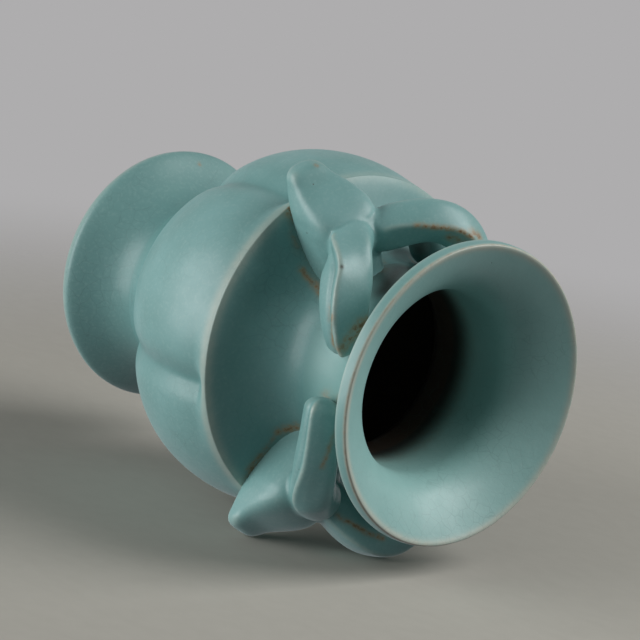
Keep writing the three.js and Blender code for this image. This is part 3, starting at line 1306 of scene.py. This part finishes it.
    def broken(
        self,
        tree: bpy.types.NodeTree,
        place: bpy.types.NodeSocket,
        mark: bpy.types.NodeSocket,
        size_mm: float,
        keep: float,
    ) -> bpy.types.NodeSocket:
        """Breaks a mark up, as a thin or rusted edge comes and goes.

        Args:
            tree: The node tree.
            place: Place on the piece.
            mark: The mark.
            size_mm: Length of a break.
            keep: The least share of the mark that stays.

        Returns:
            The output with the broken mark.
        """
        breaks = self.blotches(tree, place, size_mm, self.break_band, (keep, 1.0))
        return set_node(tree, "Math", {"operation": "MULTIPLY"}, {0: mark, 1: breaks}).outputs[0]

    def crackle(self, tree: bpy.types.NodeTree, place: bpy.types.NodeSocket) -> bpy.types.NodeSocket:
        """Fine crazing, from the glaze shrinking more than the clay, which comes and goes over the wall.

        Args:
            tree: The node tree.
            place: Place on the piece.

        Returns:
            The output with its share.
        """
        settings = {"Scale": 1 / (self.crackle_bend_mm * MM), "Detail": 2.0}
        bend = set_node(tree, "TexNoise", settings, {"Vector": place}).outputs["Color"]
        settings = {"operation": "SCALE", "Scale": self.crackle_shift * self.crackle_mm * MM}
        shift = set_node(tree, "VectorMath", settings, {0: bend}).outputs[0]
        moved = set_node(tree, "VectorMath", {"operation": "ADD"}, {0: place, 1: shift}).outputs[0]
        settings = {"feature": "DISTANCE_TO_EDGE", "Scale": 1 / (self.crackle_mm * MM)}
        cells = set_node(tree, "TexVoronoi", settings, {"Vector": moved}).outputs["Distance"]
        settings = {"From Max": self.crackle_width_mm / self.crackle_mm, "To Min": 1.0, "To Max": 0.0}
        line = set_node(tree, "MapRange", settings, {"Value": cells}).outputs["Result"]
        most = (0.0, self.crackle_strength)
        patch = self.blotches(tree, place, self.crackle_patch_mm, self.crackle_band, most)
        return set_node(tree, "Math", {"operation": "MULTIPLY"}, {0: line, 1: patch}).outputs[0]

    def pinholes(self, tree: bpy.types.NodeTree, place: bpy.types.NodeSocket) -> bpy.types.NodeSocket:
        """Sparse pinholes, where bubbles burst in the melt.

        Args:
            tree: The node tree.
            place: Place on the piece.

        Returns:
            The output with their share.
        """
        settings = {"feature": "F1", "Scale": 1 / (self.pinhole_mm * MM)}
        cells = set_node(tree, "TexVoronoi", settings, {"Vector": place}).outputs["Distance"]
        size = self.pinhole_size_mm / self.pinhole_mm
        settings = {"From Min": size / 2, "From Max": size, "To Min": self.pinhole_strength, "To Max": 0.0}
        return set_node(tree, "MapRange", settings, {"Value": cells}).outputs["Result"]

    def relief(
        self,
        tree: bpy.types.NodeTree,
        place: bpy.types.NodeSocket,
        crackle: bpy.types.NodeSocket,
        pinholes: bpy.types.NodeSocket,
    ) -> bpy.types.NodeSocket:
        """Relief of the glaze: a soft skin, cut by its crazing and pitted by its pinholes.

        Args:
            tree: The node tree.
            place: Place on the piece.
            crackle: Share of crazing.
            pinholes: Share of pinholes.

        Returns:
            The output with the normal.
        """
        skin = self.blotches(tree, place, self.skin_mm, (0.0, 1.0), (0.0, 1.0))
        grain = self.blotches(tree, place, self.grain_mm, (0.0, 1.0), (0.0, 1.0))
        bumps = (
            (skin, False, self.skin_relief),
            (grain, False, self.grain_relief),
            (crackle, True, self.crackle_relief),
            (pinholes, True, self.pinhole_relief),
        )
        normal = {}
        for height, inward, (strength, depth_mm) in bumps:
            settings = {"invert": inward, "Strength": strength, "Distance": depth_mm * MM}
            bump = set_node(tree, "Bump", settings, {"Height": height, **normal})
            normal = {"Normal": bump.outputs[0]}
        return normal["Normal"]


# Rust on the shoulder, in the hollows beside the front head and the right head.
SHOULDER_RUST = (
    GlazeLine(((17.6, -54.5, 152.2), (16.6, -48.5, 157.1), (17.6, -44.9, 162.6)), 2.0 * MM, 0.85),
    GlazeLine(((70.2, 24.6, 146.1), (62.9, 19.9, 148.5), (53.3, 11.1, 154.2)), 1.3 * MM, 0.8),
    GlazeLine(((53.3, 11.1, 154.2), (49.4, 10.3, 158.5), (48.2, 9.2, 161.4)), 2.6 * MM),
)
# Bare clay, also painted shade, on the neck between the horns of the front head, where the horns and the
# mouth shade it.
NECK_BARE_AND_SHADE = (
    GlazeLine(((3, -47, 190), (-7.9, -46.3, 183), (-17, -43.8, 178)), 8.5 * MM),
)
# A pinhole on the edge of the foot.
FOOT_PINHOLES = (GlazeLine(((-31, -49.2, 10.8), (-30.6, -49.4, 10.9)), 1.0 * MM),)
# Rust on the front head: dots on its crown and muzzle, and lines on the ends of its horns.
FRONT_RUST = (
    GlazeLine(((-41.6, -54.5, 200.0), (-45.9, -50.4, 200.9)), 2.4 * MM, 0.9),
    GlazeLine(((3.8, -74.7, 178.0), (4.4, -74.5, 178.2)), 1.3 * MM, 0.7),
    GlazeLine(((-4.6, -96.5, 152.0), (-4.2, -96.8, 151.6)), 0.9 * MM),
    GlazeLine(((24.6, -48.3, 202.0), (29.9, -48.5, 204.2), (34.1, -46.9, 204.4)), 3.2 * MM),
    GlazeLine(((34.1, -46.9, 204.4), (40.3, -42.9, 201.5)), 3.2 * MM),
    GlazeLine(((39.8, -58.0, 200.2), (41.2, -50.9, 199.3), (41.6, -43.2, 198.3)), 1.2 * MM, 0.85),
    GlazeLine(((-33, -56, 197), (-36.8, -52, 198), (-41.8, -49, 199)), 2.6 * MM),
    GlazeLine(((36.4, -59.9, 196.3), (39.3, -54.2, 197)), 0.9 * MM, 0.8),
)
# A pinhole on the front head's left horn.
FRONT_BARE = (GlazeLine(((25.9, -73.4, 196.2), (26.0, -73.3, 196.4)), 0.8 * MM),)
# Rust on the outer edges of the right head's horns.
RIGHT_RUST = (
    GlazeLine(((53.8, -5.8, 199.1), (58.9, 1.3, 198.4), (63.0, 8.6, 196.5)), 1.2 * MM, 0.9),
    GlazeLine(((54.4, 46.1, 183.4), (51.4, 50.3, 188.6), (48, 55.5, 193), (43, 60.3, 197.4)), 1.3 * MM, 0.9),
)
# Dark bare clay on the underside of the left head's left horn, partly painted shade where the horn lies in
# deep shadow.
LEFT_HORN_BARE_AND_SHADE = (
    GlazeLine(((-26, -46, 174), (-34, -43, 172), (-40, -40, 168)), 8 * MM, 0.85),
)


@dataclass(frozen=True)
class Band:
    """A soft band of a mark: where it is strongest, how far from there it fades, and how strong."""

    centre: float
    width: float
    strength: float = 1.0

    def at(self, values: np.ndarray) -> np.ndarray:
        """The band's share at each of the values."""
        return self.strength * hump(values, self.centre, self.width)


@dataclass(frozen=True)
class ThrownBody:
    """The foot, belly, shoulder and mouth: thrown rings with their glaze and marks.

    The glaze is thin on the rim of the foot, on the crest of the lip and under the lip, each no
    further in than its reach. It is pooled at the waist and in the grooves. Over the shoulder, most
    where it meets the neck, and at the neck's foot the pooled mark is also painted shade; on the
    rest of the neck's outside it takes the paler mouth glaze, which paints the light inside the mouth,
    back towards the body's tone. It is rusted in the crevices round the rams, at the throat's lower
    edge and, in a thin tan line, on the lip's outer corner. The throat is bare below its limits, and
    what is out of sight inside the belly and shoulder is bare as well; this dark bare clay is also
    painted shade.
    """

    glazes: dict[str, bpy.types.Material]
    step: float = 1.3 * MM
    inner_step: float = 5 * MM
    axis_gap: float = 0.0005 * MM
    rim_thin: Band = Band(2.2 * MM, 2.4 * MM, 0.35)
    rim_reach: float = 4 * MM
    foot_pooled: Band = Band(SIZES.waist_height, 9 * MM, 0.45)
    belly_pooled: Band = Band(SIZES.waist_height, 11 * MM, 0.45)
    groove_pooled: float = 0.4
    # The pooled mark over the whole shoulder, and more at its foot by the neck, is also painted shade.
    shoulder_pooled_and_shade: float = 0.28
    fillet_pooled_and_shade: Band = Band(SIZES.neck_radius + 2 * MM, 7 * MM, 0.2)
    shoulder_crevice: Crevice = Crevice(3.2 * MM, 5 * MM, 0.15)
    lip_thin: Band = Band(SIZES.height, 0.9 * MM)
    lip_reach: float = 6 * MM
    under_lip_thin: Band = Band(SIZES.height - SIZES.lip_height, 1.0 * MM, 0.35)
    under_lip_reach: float = 1.5 * MM
    lip_tan: Band = Band(0, 0.5 * MM, 0.45)
    lip_tan_inset: Place = (0.9 * MM, 0.3 * MM)
    throat_rust: Band = Band(SIZES.neck_base_height, 12 * MM, 0.35)
    throat_rust_reach: float = 1 * MM
    neck_crevice: Crevice = Crevice(3.5 * MM, 6 * MM, 0.2)
    # Outside the neck the pooled mark takes the paler mouth glaze back towards the body's tone; at the
    # neck's foot it is also painted shade, meeting the shoulder's.
    neck_pooled: float = 0.42
    neck_foot_pooled_and_shade: float = 0.25
    neck_foot_height: float = 15 * MM
    throat_bare: Span = (171 * MM, 187 * MM)
    throat_bare_reach: float = 0.2 * MM

    def dressed(self, piece: ThrownPiece, marks: dict[Mark, np.ndarray]) -> bpy.types.Object:
        """Builds a piece and glazes it.

        Args:
            piece: The thrown piece.
            marks: What marks its glaze.

        Returns:
            The object.
        """
        made = piece.build(marks)
        made.data.materials.append(self.glazes[piece.slot])
        return made

    def foot(self) -> bpy.types.Object:
        """Builds the foot with the base that closes it.

        Returns:
            The object.
        """
        outer = SIZES.outline(self.step, Wall.BASE, Wall.FOOT)
        inner = SIZES.inside(SIZES.outline(self.inner_step, Wall.FOOT))
        floor = np.array([[self.axis_gap, SIZES.base_edge_height], [self.axis_gap, 0.0]])
        bottom = np.array([[SIZES.foot_radius / 2, 0.0]])
        outline = np.concatenate([outer, inner, floor, bottom])
        piece = ThrownPiece("foot_ring", ("base_plate", "foot"), "foot_glaze", outline)
        points = piece.skin().points
        radius, height = np.hypot(points[:, 0], points[:, 1]), points[:, 2]
        marks = {
            Mark.THIN: self.rim_thin.at(height) * (radius > SIZES.foot_radius - self.rim_reach),
            Mark.POOLED: self.foot_pooled.at(height),
            Mark.RUST: lined(np.zeros(len(points)), points, FOOT_PINHOLES),
        }
        return self.dressed(piece, marks)

    def belly(self) -> bpy.types.Object:
        """Builds the lobed belly.

        Returns:
            The object.
        """
        outer = SIZES.outline(self.step, Wall.BELLY)
        inner = SIZES.inside(SIZES.outline(self.inner_step, Wall.BELLY))
        outline = np.concatenate([outer, inner])
        piece = ThrownPiece("lobed_belly", ("belly",), "body_glaze", outline)
        points = piece.skin().points
        angle, height = np.arctan2(points[:, 1], points[:, 0]), points[:, 2]
        deep = SIZES.groove(angle, height) / (SIZES.valley_depth + SIZES.crease_depth)
        marks = {
            # The ridge's pale line: thin glaze and a painted highlight.
            Mark.THIN: ridge_line(points),
            Mark.POOLED: np.maximum(self.groove_pooled * deep**2, self.belly_pooled.at(height)),
            # The inside is dark bare clay, which also paints the shade inside the vase.
            Mark.BARE: piece.beyond(len(outer)),
        }
        return self.dressed(piece, marks)

    def shoulder(self, rams: list[bpy.types.Object]) -> bpy.types.Object:
        """Builds the shoulder between the ridge and the neck.

        Args:
            rams: The rams that stand on it.

        Returns:
            The object.
        """
        outer = SIZES.outline(self.step, Wall.SHOULDER)
        throat = np.array([[SIZES.throat_radius, SIZES.neck_base_height]])
        outline = np.concatenate([outer, throat, SIZES.outline(self.inner_step, Wall.CEILING)])
        piece = ThrownPiece("shoulder_ring", ("shoulder",), "body_glaze", outline)
        points = piece.skin().points
        radius = np.hypot(points[:, 0], points[:, 1])
        # The ridge's pale line: thin glaze and a painted highlight.
        thin = ridge_line(points)
        marks = {
            Mark.THIN: thin,
            Mark.RUST: lined(self.shoulder_crevice.on(points, rams), points, SHOULDER_RUST),
            # Pooled glaze that is also painted shade over the shoulder, most by the neck.
            Mark.POOLED: (self.shoulder_pooled_and_shade + self.fillet_pooled_and_shade.at(radius)) * (1 - thin),
            # The inside is dark bare clay, which also paints the shade inside the shoulder.
            Mark.BARE: piece.beyond(len(outer)),
        }
        return self.dressed(piece, marks)

    def mouth(self, rams: list[bpy.types.Object]) -> bpy.types.Object:
        """Builds the neck and trumpet mouth.

        Args:
            rams: The rams whose horns reach the neck.

        Returns:
            The object.
        """
        outline = SIZES.outline(self.step, Wall.MOUTH, Wall.THROAT)
        piece = ThrownPiece("trumpet_mouth", ("neck_mouth",), "mouth_glaze", outline)
        points = piece.skin().points
        radius, height = np.hypot(points[:, 0], points[:, 1]), points[:, 2]
        outside = 1 - piece.beyond(len(SIZES.outline(self.step, Wall.MOUTH)))
        crest = self.lip_thin.at(height) * (radius > SIZES.mouth_radius - self.lip_reach)
        under = self.under_lip_thin.at(height) * (radius > SIZES.mouth_radius - self.under_lip_reach)
        thin = np.maximum(crest, under)
        inset, drop = self.lip_tan_inset
        corner = np.hypot(radius - SIZES.mouth_radius + inset, height - SIZES.height + drop)
        edge = self.throat_rust.at(height) * (radius < SIZES.throat_radius + self.throat_rust_reach)
        rust = np.maximum(edge, self.lip_tan.at(corner))
        foot_top = SIZES.neck_base_height + self.neck_foot_height
        foot = 1 - smoothstep(height, SIZES.neck_base_height, foot_top)
        # Pooled outside the neck: it takes the paler mouth glaze, which paints the light inside the mouth,
        # back towards the body's tone, and at the neck's foot it is also painted shade.
        pooled = self.neck_pooled + self.neck_foot_pooled_and_shade * foot
        # Dark bare clay low in the throat, which also paints the shade deep in it.
        throat = radius < SIZES.throat_radius + self.throat_bare_reach
        bare = throat * (1 - smoothstep(height, *self.throat_bare))
        marks = {
            Mark.THIN: thin,
            Mark.RUST: np.maximum(rust, self.neck_crevice.on(points, rams) * outside),
            Mark.POOLED: pooled * outside * (1 - thin),
            Mark.BARE: np.maximum(bare, lined(np.zeros(len(points)), points, NECK_BARE_AND_SHADE) * outside),
        }
        return self.dressed(piece, marks)


@dataclass(frozen=True)
class Softbox:
    """A square lamp that faces the vase.

    It hangs in a direction that is a share of up from the table, of back to the camera and of out to
    the left of the picture.
    """

    name: str
    up: float
    back: float
    left: float
    distance: float
    side: float
    watts: float

    def hang(self, middle: Vector, towards: Vector) -> None:
        """Hangs the lamp.

        Args:
            middle: What it faces.
            towards: Direction from there to the lamp.
        """
        data = bpy.data.lights.new(self.name, "AREA")
        data.shape = "SQUARE"
        data.size = self.side
        data.energy = self.watts
        lamp = bpy.data.objects.new(self.name, data)
        lamp.location = middle + towards.normalized() * self.distance
        lamp.rotation_mode = "QUATERNION"
        lamp.rotation_quaternion = towards.to_track_quat("Z", "Y")
        bpy.context.scene.collection.objects.link(lamp)


@dataclass(frozen=True)
class Studio:
    """The camera, the lamps and the backdrop, with the vase's middle and the way up from the table."""

    view_azimuth: float = math.radians(-46.5)
    view_elevation: float = math.radians(47.08)
    view_roll: float = math.radians(-112.275)
    view_distance: float = 1124.73 * MM
    aim: tuple[float, float, float] = (-5.2 * MM, -4.93 * MM, 119.77 * MM)
    table_up: tuple[float, float, float] = (-0.4712, -0.8819, -0.0174)
    lens_mm: float = 135.0
    sensor_mm: float = 36.0
    clip_start: float = 0.05
    backdrop: str = "aeadae"
    daylight: str = "f7fcff"
    daylight_strength: float = 0.055
    softboxes: tuple[Softbox, ...] = (
        Softbox("left_softbox", up=0.26, back=0.24, left=0.94, distance=1.6, side=1.4, watts=24.0),
        Softbox("right_softbox", up=0.52, back=0.10, left=-0.84, distance=1.5, side=1.0, watts=17.0),
    )

    def camera(self) -> bpy.types.Object:
        """Places the camera where the photograph was taken from.

        Returns:
            The camera.
        """
        back = Vector(polar(math.cos(self.view_elevation), self.view_azimuth, math.sin(self.view_elevation)))
        level = (-back).cross(Vector((0, 0, 1))).normalized()
        rise = level.cross(-back)
        up = math.cos(self.view_roll) * rise + math.sin(self.view_roll) * level
        right = up.cross(back)
        data = bpy.data.cameras.new("photograph_view")
        data.lens = self.lens_mm
        data.sensor_width = self.sensor_mm
        data.clip_start = self.clip_start
        camera = bpy.data.objects.new("photograph_view", data)
        turned = Matrix((right, up, back)).transposed().to_4x4()
        camera.matrix_world = Matrix.Translation(Vector(self.aim) + self.view_distance * back) @ turned
        bpy.context.scene.collection.objects.link(camera)
        bpy.context.scene.camera = camera
        return camera

    def lamps(self, camera: bpy.types.Object) -> None:
        """Hangs a wide key softbox to the left of the vase and a weaker one high on its right.

        Args:
            camera: The photograph's camera.
        """
        turn = camera.matrix_world.to_3x3()
        above = Vector(self.table_up)
        left, back = turn @ Vector((-1, 0, 0)), turn @ Vector((0, 0, 1))
        for box in self.softboxes:
            box.hang(Vector(self.aim), box.up * above + box.back * back + box.left * left)

    def world(self) -> None:
        """Sets the soft light from all round and the plain backdrop that the camera sees."""
        world = bpy.data.worlds.new("studio")
        bpy.context.scene.world = world
        world.use_nodes = True
        tree = world.node_tree
        tree.nodes.clear()
        rays = set_node(tree, "LightPath").outputs
        seen = rays["Is Camera Ray"]
        for kind in ("Is Glossy Ray", "Is Transmission Ray"):
            settings = {"operation": "MAXIMUM"}
            seen = set_node(tree, "Math", settings, {0: seen, 1: rays[kind]}).outputs[0]
        settings = {"Color": linear(self.daylight), "Strength": self.daylight_strength}
        soft = set_node(tree, "Background", settings).outputs[0]
        settings = {"Color": linear(self.backdrop), "Strength": 1.0}
        plain = set_node(tree, "Background", settings).outputs[0]
        mix = set_node(tree, "MixShader", {}, {0: seen, 1: soft, 2: plain})
        set_node(tree, "OutputWorld", {}, {"Surface": mix.outputs[0]})


@dataclass(frozen=True)
class Table:
    """A round, matt table that the vase lies on and that fades into the backdrop at its edge.

    The fade starts and ends at shares of the radius. The colours are those of the paper and its
    fibres, which the grain scale sets apart.
    """

    middle: tuple[float, float, float]
    up: tuple[float, float, float]
    radius: float = 0.9
    rings: int = 24
    sides: int = 96
    fade: Span = (0.25, 0.95)
    paper: str = "c0bdb4"
    fibre: str = "b9b6ad"
    grain_scale: float = 180.0

    def skin(self, low: float) -> Skin:
        """Lays out the disc.

        Args:
            low: Height of the table, measured along its upward direction.

        Returns:
            The disc, marked as bare where it shows in full.
        """
        up = Vector(self.up).normalized()
        across = up.orthogonal().normalized()
        other = up.cross(across)
        middle = Vector(self.middle)
        middle = middle + up * (low - middle.dot(up))
        points, faces = [], []
        for k in range(1, self.rings + 1):
            reach = self.radius * k / self.rings
            for i in range(self.sides):
                turn = 2 * math.pi * i / self.sides
                points.append(middle + reach * (math.cos(turn) * across + math.sin(turn) * other))
        points.append(middle)
        for i in range(self.sides):
            after = (i + 1) % self.sides
            faces.append((len(points) - 1, i, after))
            for k in range(self.rings - 1):
                here, there = k * self.sides, (k + 1) * self.sides
                faces.append((here + i, there + i, there + after, here + after))
        skin = Skin(np.array([tuple(p) for p in points]), faces)
        reach = np.linalg.norm(skin.points - np.array(middle), axis=1)
        start, end = self.fade
        skin.marks[Mark.BARE] = 1 - smoothstep(reach, start * self.radius, end * self.radius)
        return skin

    def build(self, pieces: list[bpy.types.Object]) -> None:
        """Lays the table under the vase's side, seen by the camera alone.

        Args:
            pieces: The vase's pieces, whose lowest point touches the table.
        """
        up = np.array(Vector(self.up).normalized())
        low = min((read_points(p.data) @ up).min() for p in pieces)
        table = self.skin(low).make("table")
        table.data.materials.append(self.material())
        table.visible_diffuse = False
        table.visible_glossy = False
        table.visible_transmission = False
        table.visible_shadow = False

    def material(self) -> bpy.types.Material:
        """Makes the paper.

        Returns:
            The material, which fades out with the mark and is clear from behind.
        """
        # Flat grey-white paper with faint fibres and no shine, so that the eye stays on the glaze.
        top = bpy.data.materials.new("matt_table_paper")
        top.use_nodes = True
        tree = top.node_tree
        tree.nodes.clear()
        near = set_node(tree, "Attribute", {"attribute_name": Mark.BARE.value}).outputs["Fac"]
        behind = set_node(tree, "NewGeometry").outputs["Backfacing"]
        settings = {"operation": "SUBTRACT", 0: 1.0}
        front = set_node(tree, "Math", settings, {1: behind}).outputs[0]
        share = set_node(tree, "Math", {"operation": "MULTIPLY"}, {0: near, 1: front}).outputs[0]
        clear = set_node(tree, "BsdfTransparent").outputs[0]
        settings = {"Scale": self.grain_scale, "Detail": 4.0}
        grain = set_node(tree, "TexNoise", settings).outputs["Fac"]
        settings = {"data_type": "RGBA", 6: linear(self.paper), 7: linear(self.fibre)}
        tint = set_node(tree, "Mix", settings, {0: grain}).outputs[2]
        paper = set_node(tree, "BsdfDiffuse", {}, {"Color": tint}).outputs[0]
        mix = set_node(tree, "MixShader", {}, {0: share, 1: clear, 2: paper})
        set_node(tree, "OutputMaterial", {}, {"Surface": mix.outputs[0]})
        return top


def ram_turn(index: int) -> float:
    """Angle that a ram faces, in radians, by its number counted from the front ram."""
    return FRONT_RAM_ANGLE + index * 2 * math.pi / RAM_COUNT


def rams(glaze: bpy.types.Material) -> list[bpy.types.Object]:
    """Builds the three rams.

    Args:
        glaze: Their glaze.

    Returns:
        The objects.
    """
    front_left = Horn(
        side=1, start=6.2, root=(68.7 * MM, 179 * MM), tip=(3 * MM, 196.9 * MM), turn=43, swell=5 * MM,
        crest=33, channel=0.16, twist=56, dome=0.03, squareness=5.0,
    )
    front_right = Horn(
        side=-1, start=12.5, root=(66 * MM, 175 * MM), tip=(4.5 * MM, 194 * MM), turn=57, bow=7 * MM,
        swell=1 * MM, crest=98, twist=40, rusted=(0.2, 0.62),
    )
    right_left = Horn(
        side=1, start=11.5, root=(66 * MM, 171 * MM), tip=(4 * MM, 196 * MM), turn=48, bow=14 * MM,
        crest=60,
    )
    right_right = Horn(
        side=-1, start=5.5, root=(68.5 * MM, 182 * MM), tip=(5.5 * MM, 191.5 * MM), turn=50, bow=-7 * MM,
        crest=18, channel=0.16, twist=20, root_thickness=21 * MM,
    )
    left_left = Horn(
        side=1, start=9, root=(65 * MM, 173 * MM), tip=(7 * MM, 170 * MM), turn=84, bow=3 * MM,
        swell=2 * MM, crest=30, tip_thickness=19 * MM,
    )
    left_right = Horn(
        side=-1, start=9.5, root=(66 * MM, 175 * MM), tip=(5 * MM, 195 * MM), turn=49, bow=6 * MM,
        swell=2 * MM, crest=45, channel=0.06,
    )
    made = (
        Ram("front", ram_turn(0), front_left, front_right, rust=FRONT_RUST, bare=FRONT_BARE),
        Ram("right", ram_turn(1), right_left, right_right, rust=RIGHT_RUST),
        Ram("left", ram_turn(2), left_left, left_right, bare=LEFT_HORN_BARE_AND_SHADE),
    )
    pieces = [ram.build() for ram in made]
    for piece in pieces:
        piece.data.materials.append(glaze)
    return pieces


def glazes() -> dict[str, bpy.types.Material]:
    """Makes the glaze of each material slot.

    Returns:
        The materials by slot.
    """
    # The foot's coat ran thin, so it looks greyer and flatter than the walls above it.
    foot = CeladonGlaze("thin_celadon_glaze_foot", body="78a5a2", cloud="6f9c9a")
    # The body's coat is thick and satin: soft, milky sheens over a deep blue-green with fine crazing.
    body = CeladonGlaze("celadon_glaze_body")
    # The mouth's coat is made paler than the body's to paint the light that fills the mouth, with close,
    # faint crazing, and a near-black bare throat that is also painted shade.
    mouth = CeladonGlaze(
        "celadon_glaze_mouth",
        body="9cc9c4",
        cloud="92c1bc",
        bare="2b2e2a",
        crackle_mm=5.0,
        crackle_strength=0.2,
    )
    # The rams' coat is hardly crazed, so that pale edges, dark creases and rust draw their shape.
    ram = CeladonGlaze("celadon_glaze_ram", crackle_strength=0.12)
    coats = {"foot_glaze": foot, "body_glaze": body, "mouth_glaze": mouth, "ram_glaze": ram}
    return {slot: coat.material() for slot, coat in coats.items()}


def main() -> None:
    """Builds the scene: camera first, then the vase, then what it stands in."""
    logging.basicConfig(level=logging.INFO, format="%(name)s: %(message)s")
    bpy.context.scene.view_settings.view_transform = "Standard"
    studio = Studio()
    camera = studio.camera()
    coats = glazes()
    heads = rams(coats["ram_glaze"])
    body = ThrownBody(coats)
    pieces = [body.foot(), body.belly(), body.shoulder(heads), body.mouth(heads), *heads]
    for piece in pieces:
        log.info("%s: %d points", piece.name, len(piece.data.vertices))
    studio.lamps(camera)
    studio.world()
    Table(studio.aim, studio.table_up).build(pieces)
    bpy.context.view_layer.update()


if __name__ == "__main__":
    main()
